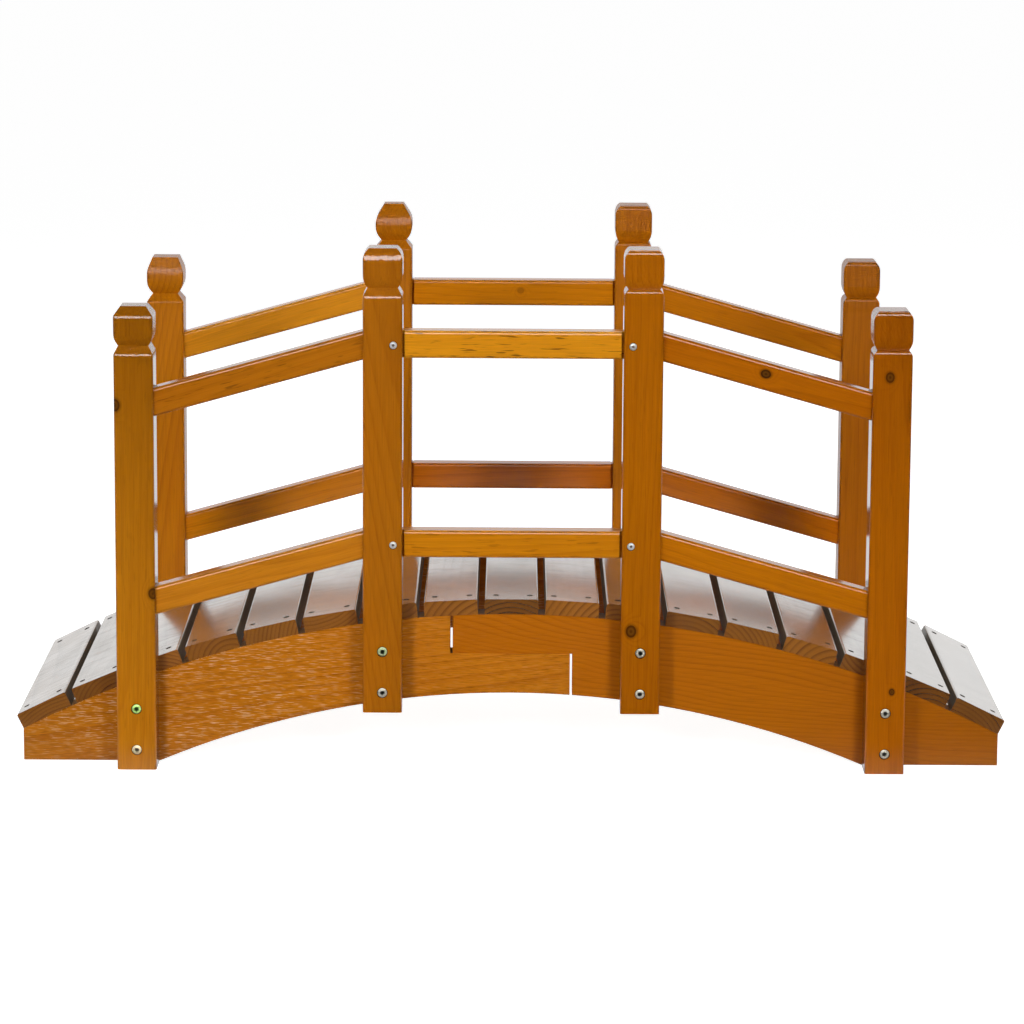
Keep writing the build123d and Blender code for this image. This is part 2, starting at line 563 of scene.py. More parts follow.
    def _relief(self, sheet: BoardSheet, fibre: Link, late: Link) -> Link:
        """Height of the surface from its fibres, the brush's waves and comb marks.

        Args:
            sheet: The sheet.
            fibre: The fibres, from 0 to 1.
            late: How dark the ring is.

        Returns:
            The height.
        """
        varnish, combed_from = self.varnish, self.board.combed_from
        waves = sheet.own_noise(Waves.BRUSH_MARKS)
        height = fibre * varnish.relief - late * (varnish.relief * 0.5) + waves * varnish.peel
        if combed_from is None:
            return height
        combed = sheet.along.fade(combed_from, combed_from + 0.01)
        return height + sheet.own_noise(Waves.COMB_MARKS) * combed * COMB_HEIGHT

    def _coat(self, worn: Link, late: Link, narrow_shade: Link) -> Operand:
        """Weight of the top coat, less where it is worn, on the late wood and where the narrow
        faces' painted shade lies.
        """
        if not self.varnish.coat:
            return 0.0
        lost = (worn + late * 0.4) * self.varnish.worn + narrow_shade
        return ((1.0 - lost) * self.varnish.coat).maths("MAXIMUM", 0.0)

    def _ripple(self, sheet: BoardSheet) -> tuple[Link, Link]:
        """Short waves that the planer left, and the painted highlight streaks on their crests."""
        waves = sheet.own_noise(Waves.RIPPLES, 1.5)
        spread = sheet.own_noise(Waves.RIPPLE_SPREAD).fade(0.25, 0.65)
        strength = (spread * 0.75 + 0.25) * (0.62 * self.board.ripple)
        end = self.board.smooth_from
        strength = strength * (sheet.along.fade(end, end - 0.35) * 0.9 + 0.1)
        return waves, waves.fade(0.56, 0.68) * strength


@dataclass(frozen=True)
class PlatedSteel:
    """Plated steel of a bolt or nut, or something as plain.

    Attributes:
        name: Name of the material.
        tint: Colour of the plating.
        stained: Colour where the plating has dulled.
        roughness: Roughness of the bright parts.
        metallic: How much of a metal's look is left.
        ior: How strongly what lies on it mirrors.
    """

    name: str
    tint: Colour
    stained: Colour
    roughness: float
    metallic: float = 0.4
    ior: float = 1.5

    def material(self) -> Material:
        """Build the material.

        Returns:
            The material.
        """
        made = bpy.data.materials.new(self.name)
        sheet = NodeSheet(made)
        place = sheet.add("TexCoord", {}, "Object")
        cloud = sheet.noise(sheet.stretch(place, (460.0, 460.0, 460.0)), 3.0, 0.6)
        fine = sheet.noise(sheet.stretch(place, (2600.0, 2600.0, 2600.0)), 2.0)
        bump = {"Strength": 0.3, "Distance": 0.0001, "Height": fine * 0.5 + cloud}
        shader = sheet.add(
            "BsdfPrincipled",
            {
                "Base Color": sheet.mix(self.tint, self.stained, cloud.fade(0.46, 0.74)),
                "Metallic": self.metallic,
                "Roughness": self.roughness + cloud.fade(0.4, 0.8) * 0.2,
                "IOR": self.ior,
                "Normal": sheet.add("Bump", bump),
            },
        )
        sheet.close("OutputMaterial", shader)
        return made


class Plating(Enum):
    """What the faces of a bolt or nut are made of, and the painted shade in its socket and round
    its head.
    """

    YELLOW = PlatedSteel("yellow_zinc", (1.0, 0.84, 0.54), (0.92, 0.66, 0.36), 0.38)
    GREEN = PlatedSteel("green_zinc", (0.62, 0.98, 0.28), (0.46, 0.80, 0.20), 0.38)
    PALE = PlatedSteel("pale_green_zinc", (0.44, 0.54, 0.26), (0.50, 0.47, 0.40), 0.40)
    GREY = PlatedSteel("grey_zinc", (0.62, 0.58, 0.48), (0.28, 0.26, 0.19), 0.42)
    SILVER = PlatedSteel("silver_zinc", (0.72, 0.74, 0.74), (0.50, 0.51, 0.50), 0.33)
    # Painted shade: a dark colour for the inside of a head's socket and a near-black one for the
    # ring round a head, where its recess lies in shade.
    DIRT = PlatedSteel("socket_dirt", (0.12, 0.085, 0.065), (0.34, 0.29, 0.25), 0.6, 0.2)
    HEAD_GAP_SHADE = PlatedSteel(
        "seal_rubber", (0.020, 0.014, 0.006), (0.05, 0.035, 0.02), 0.8, 0.0, 1.2
    )


class Hand:
    """The moves that shape a piece in edit mode, each on what is picked by place."""

    @staticmethod
    def clear() -> None:
        """Leave edit mode with nothing selected."""
        if bpy.context.mode != "OBJECT":
            bpy.ops.object.mode_set(mode="OBJECT")
        bpy.ops.object.select_all(action="DESELECT")

    @staticmethod
    def pick(wanted: Callable[[BMEdge], bool]) -> None:
        """Select the edges that pass a test."""
        bpy.ops.mesh.select_mode(type="EDGE")
        bpy.ops.mesh.select_all(action="DESELECT")
        mesh = bmesh.from_edit_mesh(bpy.context.edit_object.data)
        for edge in mesh.edges:
            edge.select = wanted(edge)
        mesh.select_flush_mode()
        bmesh.update_edit_mesh(bpy.context.edit_object.data)

    @classmethod
    def pick_ring(
        cls, level: float, reach: float, slack: float = 1e-6, loose: bool = False
    ) -> None:
        """Select the edges that lie at one height, no farther than a distance from the Z axis.

        Args:
            level: The height.
            reach: The distance.
            slack: How far off the height an edge may lie.
            loose: Whether to leave out the edges that two faces share.
        """

        def wanted(edge: BMEdge) -> bool:
            """Whether both ends lie there."""
            ends = [v.co for v in edge.verts]
            inside = all(abs(p.z - level) <= slack and p.to_2d().length <= reach for p in ends)
            return inside and not (loose and len(edge.link_faces) > 1)

        cls.pick(wanted)

    @staticmethod
    def extrude(step: Sequence[float], scale: float = 1.0) -> None:
        """Extrude the picked edges by a step, then scale them about the Z axis."""
        bpy.ops.mesh.extrude_edges_move(TRANSFORM_OT_translate={"value": step})
        if scale != 1.0:
            bpy.ops.transform.resize(value=(scale, scale, 1), center_override=(0, 0, 0))

    @classmethod
    def raise_to(cls, level: float, scale: float) -> None:
        """Extrude the picked loop to a height, then scale it about the Z axis."""
        mesh = bmesh.from_edit_mesh(bpy.context.edit_object.data)
        now = max(v.co.z for v in mesh.verts if v.select)
        cls.extrude((0, 0, level - now), scale)

    @classmethod
    def finish(cls, name: str, smooth: float) -> Object:
        """Close the edit: merge doubles, turn faces outwards and shade smooth up to an angle.

        Args:
            name: The piece's name.
            smooth: Largest angle that is shaded smooth, in degrees.

        Returns:
            The piece.
        """
        bpy.ops.mesh.select_all(action="SELECT")
        bpy.ops.mesh.remove_doubles(threshold=1e-6)
        bpy.ops.mesh.normals_make_consistent(inside=False)
        bpy.ops.object.mode_set(mode="OBJECT")
        piece = bpy.context.active_object
        piece.name = name
        bpy.ops.object.shade_smooth_by_angle(angle=math.radians(smooth))
        cls.clear()
        return piece

    @staticmethod
    def copy(pattern: Object, name: str, place: Matrix) -> Object:
        """Copy a pattern to its place, with a mesh of its own.

        Args:
            pattern: The piece to copy.
            name: Name of the copy.
            place: Where it goes.

        Returns:
            The copy, which rides on the bridge.
        """
        piece = pattern.copy()
        piece.data = pattern.data.copy()
        piece.name = name
        piece.data.name = name
        piece.data.transform(place)
        bpy.context.scene.collection.objects.link(piece)
        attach(piece, "root")
        return piece


def board_axes(grain: Grain, slope: float = 0.0) -> Matrix:
    """Axes of a board: across its face, through it, and along its grain.

    Args:
        grain: Which way the grain runs.
        slope: Angle by which the board is turned in the side view, in radians.

    Returns:
        A matrix whose rows are the three axes.
    """
    near, far = math.cos(slope), math.sin(slope)
    if grain is Grain.UPRIGHT:
        return Matrix.Identity(3)
    if grain is Grain.ALONG:
        return Matrix(((far, 0.0, -near), (0.0, 1.0, 0.0), (near, 0.0, far)))
    return Matrix(((near, 0.0, -far), (-far, 0.0, -near), (0.0, 1.0, 0.0)))


@dataclass
class Timbers:
    """Timbers of one kind, each with a wood of its own.

    Attributes:
        grain: Which way their grain runs.
        stain: Their colours.
        varnish: Their finish.
        thin: The finish of those at the rear, which took less of it.
        boards: How each was cut.
    """

    grain: Grain
    stain: Stain
    varnish: Varnish
    thin: Varnish
    boards: tuple[Board, ...]

    def dress(self) -> None:
        """Give every timber its wood."""
        for board in self.boards:
            varnish = self.varnish if board.node.startswith("front") else self.thin
            axes = board_axes(self.grain, self.slope(board.node))
            WoodFinish(self.stain, varnish, self.worked(board), axes).wear()

    def slope(self, node: str) -> float:
        """Slope of a timber in the side view: none, unless its kind has one."""
        return 0.0

    def worked(self, board: Board) -> Board:
        """A board as it was worked after planing: the same, unless its kind has more."""
        return board


@dataclass
class Posts(Timbers):
    """Eight square posts with shaped heads.

    Attributes:
        head: Length of the part at the top that was filed to shape.
    """

    grain: Grain = Grain.UPRIGHT
    stain: Stain = Stain((0.40, 0.135, 0.004), (0.24, 0.064, 0.001), (0.33, 0.092, 0.001))
    varnish: Varnish = Varnish()
    thin: Varnish = Varnish(ior=1.25, roughness=0.24, relief=0.000015)
    boards: tuple[Board, ...] = (
        Board(
            "front_post_end_left", (1.12, 1.17, 1.2), 11, 0.0062, (-0.035, 0.045), 0.45, fall=0.74,
            slant=2.0, knots=(Knot(-0.0285, 0.2075, 0.0078, 0.8), Knot(0.027, -0.082, 0.007, 0.8)),
        ),
        Board(
            "front_post_middle_left", (1.02, 0.96, 1.1), 12, 0.0078, (0.05, 0.05), 0.6,
            (0.16, 0.02), fall=0.05, slant=2.2,
        ),
        Board(
            "front_post_middle_right", (1.01, 0.87, 0.3), 13, 0.0056, (-0.045, 0.05), fall=-0.12,
            knots=(Knot(-0.0145, -0.227, 0.0078, 0.85),),
        ),
        Board(
            "front_post_end_right", (0.99, 0.79, 0.2), 14, 0.0064, (0.03, 0.05), 0.45, fall=0.34,
            slant=0.8, knots=(Knot(-0.004, 0.257, 0.0066, 0.8), Knot(0.009, -0.228, 0.0042, 0.9)),
        ),
        Board(
            "rear_post_end_left", (1.33, 1.26, 0.5), 15, 0.0085, (0.055, 0.04), 0.7, (-0.2, 0.03),
        ),
        Board("rear_post_middle_left", (1.22, 1.14, 0.5), 16, 0.0052, (-0.05, 0.05), 0.55),
        Board("rear_post_middle_right", (1.18, 1.08, 0.5), 17, 0.0056, (0.02, 0.06)),
        Board(
            "rear_post_end_right", (1.06, 0.92, 0.4), 18, 0.0060, (-0.03, 0.05), 0.55, (0.05, 0.02),
        ),
    )
    head: float = 0.085

    def worked(self, board: Board) -> Board:
        """A post's board with the file's comb marks on its head."""
        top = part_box(board.node)[1].z - middle_of(board.node).z
        return replace(board, combed_from=top - self.head)


@dataclass
class Rails(Timbers):
    """Twelve rails: two to a bay, sloping in the end bays."""

    grain: Grain = Grain.ALONG
    stain: Stain = Stain((0.58, 0.200, 0.004), (0.34, 0.096, 0.001), (0.48, 0.145, 0.002))
    varnish: Varnish = Varnish(ior=1.5, roughness=0.09)
    thin: Varnish = Varnish(ior=1.3, roughness=0.16, relief=0.000015)
    boards: tuple[Board, ...] = (
        Board(
            "front_rail_left_upper", (0.78, 0.72, 1.2), 41, 0.0060, (0.03, 0.05), 0.65, flecks=0.5,
        ),
        Board("front_rail_left_lower", (0.96, 0.98, 2.5), 42, 0.0052, (-0.02, 0.05)),
        Board("front_rail_middle_upper", (1.22, 1.42, 2.4), 43, 0.0044, (0.01, 0.06), flecks=0.75),
        Board(
            "front_rail_middle_lower", (0.98, 1.00, 1.0), 44, 0.0056, (0.035, 0.04), 0.6,
            flecks=0.4,
        ),
        Board(
            "front_rail_right_upper", (0.76, 0.60, 0.3), 31, 0.0052, (0.02, 0.05),
            knots=(Knot(-0.004, -0.004, 0.0064),),
        ),
        Board("front_rail_right_lower", (0.87, 0.78, 0.5), 45, 0.0060, (-0.03, 0.05), 0.6),
        Board("rear_rail_left_upper", (1.22, 1.36, 3.0), 46, 0.0050, (0.02, 0.06)),
        Board("rear_rail_left_lower", (1.12, 1.04, 0.6), 47, 0.0056, (-0.03, 0.04), 0.55),
        Board(
            "rear_rail_middle_upper", (1.01, 0.94, 0.3), 32, 0.0048, (-0.03, 0.05),
            knots=(Knot(-0.004, 0.012, 0.0045, 0.3),),
        ),
        Board("rear_rail_middle_lower", (0.90, 0.64, 0.2), 48, 0.0052, (0.03, 0.05), 0.6),
        Board("rear_rail_right_upper", (0.90, 0.79, 0.3), 49, 0.0056, (0.0, 0.06), 0.55),
        Board("rear_rail_right_lower", (0.90, 0.67, 0.2), 50, 0.0050, (-0.02, 0.05), 0.6),
    )

    def slope(self, node: str) -> float:
        """Slope of a rail, from the middles of its two ends, in radians."""
        low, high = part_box(node)
        points = [v.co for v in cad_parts[node].data.vertices]
        left = [p.z for p in points if p.x < low.x + 1e-5]
        right = [p.z for p in points if p.x > high.x - 1e-5]
        rise = (max(right) + min(right)) / 2 - (max(left) + min(left)) / 2
        return math.atan2(rise, high.x - low.x)


@dataclass
class Beams(Timbers):
    """Two arched beams, each of two halves."""

    grain: Grain = Grain.ALONG
    stain: Stain = Stain((0.50, 0.150, 0.004), (0.30, 0.074, 0.001), (0.41, 0.110, 0.002))
    varnish: Varnish = Varnish(ior=1.35, roughness=0.18, relief=0.000015)
    thin: Varnish = varnish
    boards: tuple[Board, ...] = (
        Board(
            "front_beam_left", (1.06, 1.16, 1.6), 61, 0.0075, (0.06, 0.08), 0.75, (0.10, 0.02),
            0.02, ripple=1.0, smooth_from=0.25, narrow_shade=0.7,
        ),
        Board(
            "front_beam_right", (0.87, 0.83, 0.4), 62, 0.0068, (-0.15, 0.03), 0.64, (-0.12, 0.02),
            0.036, fall=0.14, ripple=0.03, narrow_shade=0.7,
        ),
        Board(
            "rear_beam_left", (1.05, 1.10, 1.5), 63, 0.0070, (0.02, 0.10), wander=0.025, ripple=0.5,
            narrow_shade=0.7,
        ),
        Board(
            "rear_beam_right", (1.00, 0.95, 1.0), 64, 0.0080, (-0.04, 0.08), wander=0.03,
            ripple=0.2, narrow_shade=0.7,
        ),
    )


@dataclass
class Deck:
    """Seventeen planks on the curve of the beams, with two screws at each end of each.

    Attributes:
        stain: Colours of the planks.
        varnish: Their finish.
        steel: What the screws are made of.
        radius: Radius of a screw's head.
        depth: How deep a head is.
        proud: How far a head stands out of the wood.
        taper: Radii of a head's flat top and underside, as shares of the head's.
        cross: Half width and reach of the cross recess's arms, as shares of the head's radius.
        sunk: Depth of the recess, as a share of the head's.
        from_middle: Distance of a screw from the plank's middle line.
        from_end: Distance of a screw from the plank's end.
        drift: Most that a screw lies off its mark.
        shades: How much stain each plank took, from the left end.
        trodden: How much of its coat each plank has lost, as a share of the most.
        cuts: For each plank its ring width and the place of its pith across and through it.
    """

    stain: Stain = Stain((0.34, 0.118, 0.010), (0.11, 0.032, 0.002), (0.25, 0.080, 0.005))
    varnish: Varnish = Varnish(
        ior=1.9, roughness=0.18, uneven=0.04, relief=0.000012, peel=0.000005, coat=1.0,
        coat_roughness=0.14, coat_ior=1.75, worn=0.32, chatter=0.6,
    )
    steel: PlatedSteel = PlatedSteel(
        "deck_screw_steel", (0.022, 0.013, 0.007), (0.05, 0.03, 0.015), 0.8, 0.0, 1.15
    )
    radius: float = 0.0047
    depth: float = 0.0022
    proud: float = 0.0003
    taper: tuple[float, float] = (0.86, 0.55)
    cross: tuple[float, float] = (0.16, 0.42)
    sunk: float = 0.6
    from_middle: float = 0.026
    from_end: float = 0.034
    drift: float = 0.003
    shades: tuple[float, ...] = (
        1.0, 0.82, 1.15, 1.03, 0.97, 1.02, 1.0, 1.10, 0.6,
        1.16, 1.0, 0.78, 0.94, 1.10, 0.82, 0.68, 0.75,
    )
    trodden: tuple[float, ...] = (
        1.0, 1.0, 1.0, 0.9, 0.5, 0.7, 1.0, 1.0, 0.5,
        0.8, 1.0, 0.4, 0.3, 0.9, 1.0, 0.1, 0.1,
    )
    cuts: tuple[tuple[float, float, float], ...] = (
        (0.0056, 0.010, 0.120), (0.0064, 0.020, 0.060), (0.0062, -0.030, 0.090),
        (0.0080, 0.026, 0.032), (0.0062, 0.110, 0.040), (0.0062, -0.020, -0.090),
        (0.0080, 0.015, -0.040), (0.0100, 0.070, 0.070), (0.0076, 0.005, 0.075),
        (0.0094, 0.080, 0.060), (0.0080, -0.020, 0.040), (0.0078, -0.010, 0.070),
        (0.0070, -0.070, 0.060), (0.0104, 0.050, 0.045), (0.0076, 0.005, -0.060),
        (0.0080, 0.030, 0.070), (0.0066, -0.020, 0.090),
    )

    @staticmethod
    def tilts() -> dict[str, float]:
        """How far each plank is turned from level, worked out from the curve of the deck.

        Returns:
            Angle in radians by plank from the left end, positive where the deck falls to the right.
        """
        names = sorted(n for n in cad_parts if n.startswith("deck_plank_"))
        places = {name: middle_of(name) for name in names}
        top, last = places[names[len(names) // 2]], places[names[-1]]
        fall = top.z - last.z
        radius = (last.x**2 + fall**2) / (2 * fall)
        return {n: math.atan2(p.x, p.z - (top.z - radius)) for n, p in places.items()}

    @staticmethod
    def seat(node: str, tilt: float) -> Matrix:
        """Place of the middle of a plank's top, turned as the plank is.

        Args:
            node: The plank's name.
            tilt: How far it is turned from level, in radians.

        Returns:
            The place.
        """
        turn = Matrix.Rotation(tilt, 4, "Y")
        level = [turn.inverted() @ v.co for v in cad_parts[node].data.vertices]
        across = [p.x for p in level]
        top = Vector(((min(across) + max(across)) / 2, 0, max(p.z for p in level)))
        return turn @ Matrix.Translation(top)

    def dress(self) -> None:
        """Give every plank its wood, with the grain across the bridge."""
        draw = random.Random(8)
        planks = zip(self.tilts().items(), self.shades, self.trodden, self.cuts)
        for index, ((node, tilt), shade, trodden, (ring, *pith)) in enumerate(planks):
            board = Board(
                node,
                (shade, shade, shade),
                70 + index,
                ring,
                tuple(pith),
                lean=(draw.uniform(-0.02, 0.02), draw.uniform(-0.02, 0.02)),
                contrast=draw.uniform(0.85, 1.15),
                wander=0.011,
                narrow_shade=0.62,
                greyed=0.3,
            )
            varnish = replace(self.varnish, worn=self.varnish.worn * trodden)
            WoodFinish(self.stain, varnish, board, board_axes(Grain.ACROSS, tilt)).wear()

    def screw_pattern(self) -> Object:
        """Model one countersunk screw head with a cross recess, facing up, its rim at the origin.

        Returns:
            The pattern.
        """
        Hand.clear()
        radius, proud = self.radius, self.proud
        flat, foot = self.taper
        arm = radius * self.cross[0]
        sunk, rim = self.depth * self.sunk, proud * 0.6
        bpy.ops.mesh.primitive_plane_add(size=arm * 2, location=(0, 0, 0), enter_editmode=True)
        bpy.ops.transform.translate(value=(0, 0, -sunk))
        for turn in range(4):
            angle = turn * math.pi / 2
            outward = Vector((math.cos(angle), math.sin(angle), 0))
            side = (outward * arm).to_2d()

            def on_side(edge: BMEdge) -> bool:
                """Whether it is the edge of the small square on that side."""
                middle = (edge.verts[0].co + edge.verts[1].co) / 2
                return (middle.to_2d() - side).length < arm * 0.1

            Hand.pick(on_side)
            Hand.extrude(outward * radius * self.cross[1])
        Hand.pick(lambda edge: len(edge.link_faces) == 1)
        Hand.extrude((0, 0, sunk + rim))
        bpy.ops.mesh.primitive_circle_add(vertices=16, radius=radius * flat, location=(0, 0, proud))
        Hand.pick_ring(rim, radius, slack=proud, loose=True)
        bpy.ops.mesh.bridge_edge_loops()
        Hand.pick_ring(proud, radius)
        Hand.extrude((0, 0, -proud * 0.9), 1 / flat)
        Hand.extrude((0, 0, -self.depth), foot)
        bpy.ops.mesh.edge_face_add()
        return Hand.finish("deck_screw_pattern", 35)

    def screws(self) -> None:
        """Copy the screw to both ends of every plank, one piece to a plank."""
        pattern = self.screw_pattern()
        pattern.data.materials.append(self.steel.material())
        draw = random.Random(21)
        corners = [(side, end) for side in (-1, 1) for end in (-1, 1)]
        tilts = self.tilts()
        for node, tilt in tilts.items():
            low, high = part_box(node)
            reach = (high.y - low.y) / 2 - self.from_end
            copies = []
            for number, (side, end) in enumerate(corners, 1):
                across = side * self.from_middle + draw.uniform(-self.drift, self.drift)
                along = end * reach + draw.uniform(-self.drift, self.drift)
                spin = Matrix.Rotation(draw.uniform(0, math.pi), 4, "Z")
                place = self.seat(node, tilt) @ Matrix.Translation((across, along, 0)) @ spin
                copies.append(Hand.copy(pattern, f"{node}_screw_{number}", place))
            Hand.clear()
            for copy in copies:
                copy.select_set(True)
            bpy.context.view_layer.objects.active = copies[0]
            bpy.ops.object.join()
            copies[0].name = f"{node}_screws"
        bpy.data.objects.remove(pattern)
        log.info("deck screws: %d planks", len(tilts))


@dataclass
class SocketBolts:
    """Bolts with a hexagon socket, sunk in the outer faces of the posts, and their nuts.

    Attributes:
        foot: For a foot bolt the radii of its head and of the dark ring round that, which is
            painted shade for the gap of its recess, and the share of the head's height that is
            rounded off at the rim.
        tenon: The same for a tenon bolt.
        head_height: Height of a head over the bottom of its recess.
        lip: Width of the flat step inside a head's rounded rim, as a share of its radius.
        socket: Radius of the socket over its corners, as a share of the head's.
        mouth: Radius of the socket's bevelled mouth, as a share of the socket's.
        depths: Depths of the bevel and of the socket under it, as shares of the head's height.
        inside: Radius inside the ring of painted shade, as a share of the head's.
        recess: Depth of the recesses.
        foot_levels: Heights of the foot bolts over the foot of the post.
        tenon_inset: Distance of a tenon bolt from the post's middle towards mid-span.
        washer: Radius and thickness of the washer under a nut.
        nut: Radius over its corners and height of a nut.
        shank: Radius of a bolt's end and how far it stands out of its nut.
        bevels: How far the edges of a nut and of a bolt's end are bevelled.
        platings: Plating of the foot bolts that aren't grey.
    """

    foot: tuple[float, float, float] = (0.0072, 0.0082, 0.4)
    tenon: tuple[float, float, float] = (0.0058, 0.0062, 0.7)
    head_height: float = 0.0033
    lip: float = 0.12
    socket: float = 0.46
    mouth: float = 1.12
    depths: tuple[float, float] = (0.08, 0.62)
    inside: float = 0.94
    recess: float = 0.004
    foot_levels: tuple[float, float] = (0.031, 0.095)
    tenon_inset: float = 0.016
    washer: tuple[float, float] = (0.0092, 0.0014)
    nut: tuple[float, float] = (0.0072, 0.0055)
    shank: tuple[float, float] = (0.003744, 0.0022)
    bevels: tuple[float, float] = (0.0007, 0.0006)
    platings: Mapping[str, Plating] = field(
        default_factory=lambda: {
            "front_end_left_lower_bolt": Plating.YELLOW,
            "front_end_left_upper_bolt": Plating.GREEN,
            "front_middle_left_upper_bolt": Plating.PALE,
        }
    )

    def head_pattern(self, name: str, radius: float, shade_ring: float, dome: float) -> Object:
        """Model one bolt head in its dark ring of painted gap shade, facing up, its underside at
        the origin.

        Args:
            name: Name of the pattern.
            radius: Radius of the head.
            shade_ring: Radius of the dark ring of painted shade round the head.
            dome: Share of the height that is rounded off at the rim.

        Returns:
            The pattern, its faces in the slots plating, painted socket shade and painted gap shade.
        """
        Hand.clear()
        height = self.head_height
        key = radius * self.socket
        bpy.ops.mesh.primitive_circle_add(
            vertices=32, radius=radius, location=(0, 0, 0), enter_editmode=True
        )
        Hand.extrude((0, 0, height * (1 - dome)))
        shrink = 1.0
        for angle in (22.5, 45.0, 67.5):
            bend = math.radians(angle)
            width = 1 - dome * (height / radius) * 1.9 * (1 - math.cos(bend))
            level = height * (1 - dome) + height * dome * math.sin(bend)
            Hand.raise_to(level, width / shrink)
            shrink = width
        Hand.raise_to(height, (shrink - self.lip) / shrink)
        bpy.ops.mesh.primitive_circle_add(
            vertices=6, radius=key * self.mouth, location=(0, 0, height)
        )
        Hand.pick_ring(height, radius, loose=True)
        bpy.ops.mesh.bridge_edge_loops()
        Hand.pick_ring(height, key * self.mouth * EASE)
        bevel, deep = self.depths
        Hand.extrude((0, 0, -height * bevel), 1 / self.mouth)
        Hand.extrude((0, 0, -height * deep))
        bpy.ops.mesh.edge_face_add()
        Hand.pick_ring(0, radius * EASE)
        bpy.ops.mesh.edge_face_add()
        bpy.ops.mesh.select_all(action="DESELECT")
        thickness = (shade_ring - radius * self.inside) / 2
        ring = shade_ring - thickness
        bpy.ops.mesh.primitive_torus_add(
            location=(0, 0, height * 0.5), major_segments=32, minor_segments=8,
            major_radius=ring, minor_radius=thickness,
        )
        pattern = Hand.finish(name, 30)
        # The socket's faces get the painted socket shade and the ring's faces the painted gap
        # shade.
        for face in pattern.data.polygons:
            out, level = face.center.to_2d().length, face.center.z
            in_socket = out < key * 0.99 and 0 < level < height * 0.95
            from_ring = math.hypot(out - ring, level - height * 0.5) / thickness
            on_shade_ring = 0.84 < from_ring < 1.02
            face.material_index = 2 if on_shade_ring else int(in_socket)
        return pattern

    def nut_pattern(self) -> Object:
        """Model one washer, nut and bolt end, facing up, the washer's underside at the origin.

        Returns:
            The pattern.
        """
        Hand.clear()
        (wide, thin), (_, tall) = self.washer, self.nut
        bpy.ops.mesh.primitive_cylinder_add(
            vertices=28, radius=wide, depth=thin, location=(0, 0, 0), enter_editmode=True
        )
        bpy.ops.transform.translate(value=(0, 0, thin / 2))
        ends = (thin + tall, thin + tall + self.shank[1])
        radii = (self.nut[0], self.shank[0])
        for sides, radius, end, bevel in zip((6, 20), radii, ends, self.bevels):
            middle = (0, 0, end - tall / 2)
            bpy.ops.mesh.primitive_cylinder_add(
                vertices=sides, radius=radius, depth=tall, location=middle
            )
            Hand.pick_ring(end, radius * EASE)
            bpy.ops.mesh.bevel(offset=bevel, segments=2, affect="EDGES")
        return Hand.finish("nut_pattern", 30)

    def build(self) -> None:
        """Copy the heads and nuts to the posts and beams."""
        materials = {plating: plating.value.material() for plating in Plating}
        foot = self.head_pattern("foot_bolt_pattern", *self.foot)
        tenon = self.head_pattern("tenon_bolt_pattern", *self.tenon)
        nut = self.nut_pattern()
        draw = random.Random(3)

        def fit(
            pattern: Object, name: str, mark: Sequence[float], side: int, *slots: Plating
        ) -> None:
            """Copy a pattern to a mark, facing the front (-1) or the rear (1)."""
            turn = Matrix.Rotation(-side * math.pi / 2, 4, "X")
            spin = Matrix.Rotation(draw.uniform(0, math.pi), 4, "Z")
            piece = Hand.copy(pattern, name, Matrix.Translation(mark) @ turn @ spin)
            for plating in slots:
                piece.data.materials.append(materials[plating])

        for node in sorted(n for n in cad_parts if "_post_" in n):
            row = node.split("_")[0]
            side = -1 if row == "front" else 1
            low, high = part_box(node)
            beam_low, beam_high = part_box(f"{row}_beam_left")
            outer, inner = (high.y, low.y) if side > 0 else (low.y, high.y)
            face = outer - side * self.recess
            back = inner - side * (beam_high.y - beam_low.y)
            middle = (low.x + high.x) / 2
            short = node.replace("_post", "")
            for rise, word in zip(self.foot_levels, ("lower", "upper")):
                name, level = f"{short}_{word}_bolt", low.z + rise
                plating = self.platings.get(name, Plating.GREY)
                slots = (plating, Plating.DIRT, Plating.HEAD_GAP_SHADE)
                fit(foot, name, (middle, face, level), side, *slots)
                fit(nut, f"{short}_{word}_nut", (middle, back, level), -side, Plating.GREY)
            if "_middle_" in node:
                middle -= math.copysign(self.tenon_inset, middle)
                slots = (Plating.SILVER, Plating.DIRT, Plating.HEAD_GAP_SHADE)
                for word in ("lower", "upper"):
                    level = middle_of(f"{row}_rail_middle_{word}").z
                    fit(tenon, f"{short}_{word}_rail_bolt", (middle, face, level), side, *slots)
            log.info("bolts of %s", node)
        for pattern in (foot, tenon, nut):
            bpy.data.objects.remove(pattern)


class Rays(Enum):
    """Kinds of ray that a lamp can be hidden from."""

    CAMERA = "visible_camera"
    GLOSSY = "visible_glossy"
    DIFFUSE = "visible_diffuse"


@dataclass(frozen=True)
class SoftBox:
    """A lamp with an even rectangle of light, which no camera sees.

    Attributes:
        name: Its name.
        place: Where it hangs.
        aim: What it points at.
        size: Width and height.
        power: Power, in watts.
        spread: Angle over which it shines, in degrees.
        hidden: Kind of ray it is also hidden from.
    """

    name: str
    place: tuple[float, float, float]
    aim: tuple[float, float, float]
    size: tuple[float, float]
    power: float
    spread: float = 180.0
    hidden: Rays = Rays.CAMERA

    def hang(self) -> None:
        """Hang the lamp."""
        data = bpy.data.lights.new(self.name, "AREA")
        data.shape = "RECTANGLE"
        data.size, data.size_y = self.size
        data.energy = self.power
        data.spread = math.radians(self.spread)
        lamp = bpy.data.objects.new(self.name, data)
        lamp.location = self.place
        ahead = Vector(self.aim) - Vector(self.place)
        lamp.rotation_euler = ahead.to_track_quat("-Z", "Y").to_euler()
        for rays in (Rays.CAMERA, self.hidden):
            setattr(lamp, rays.value, False)
        bpy.context.scene.collection.objects.link(lamp)
        log.info("%s: %.1f W", self.name, self.power)


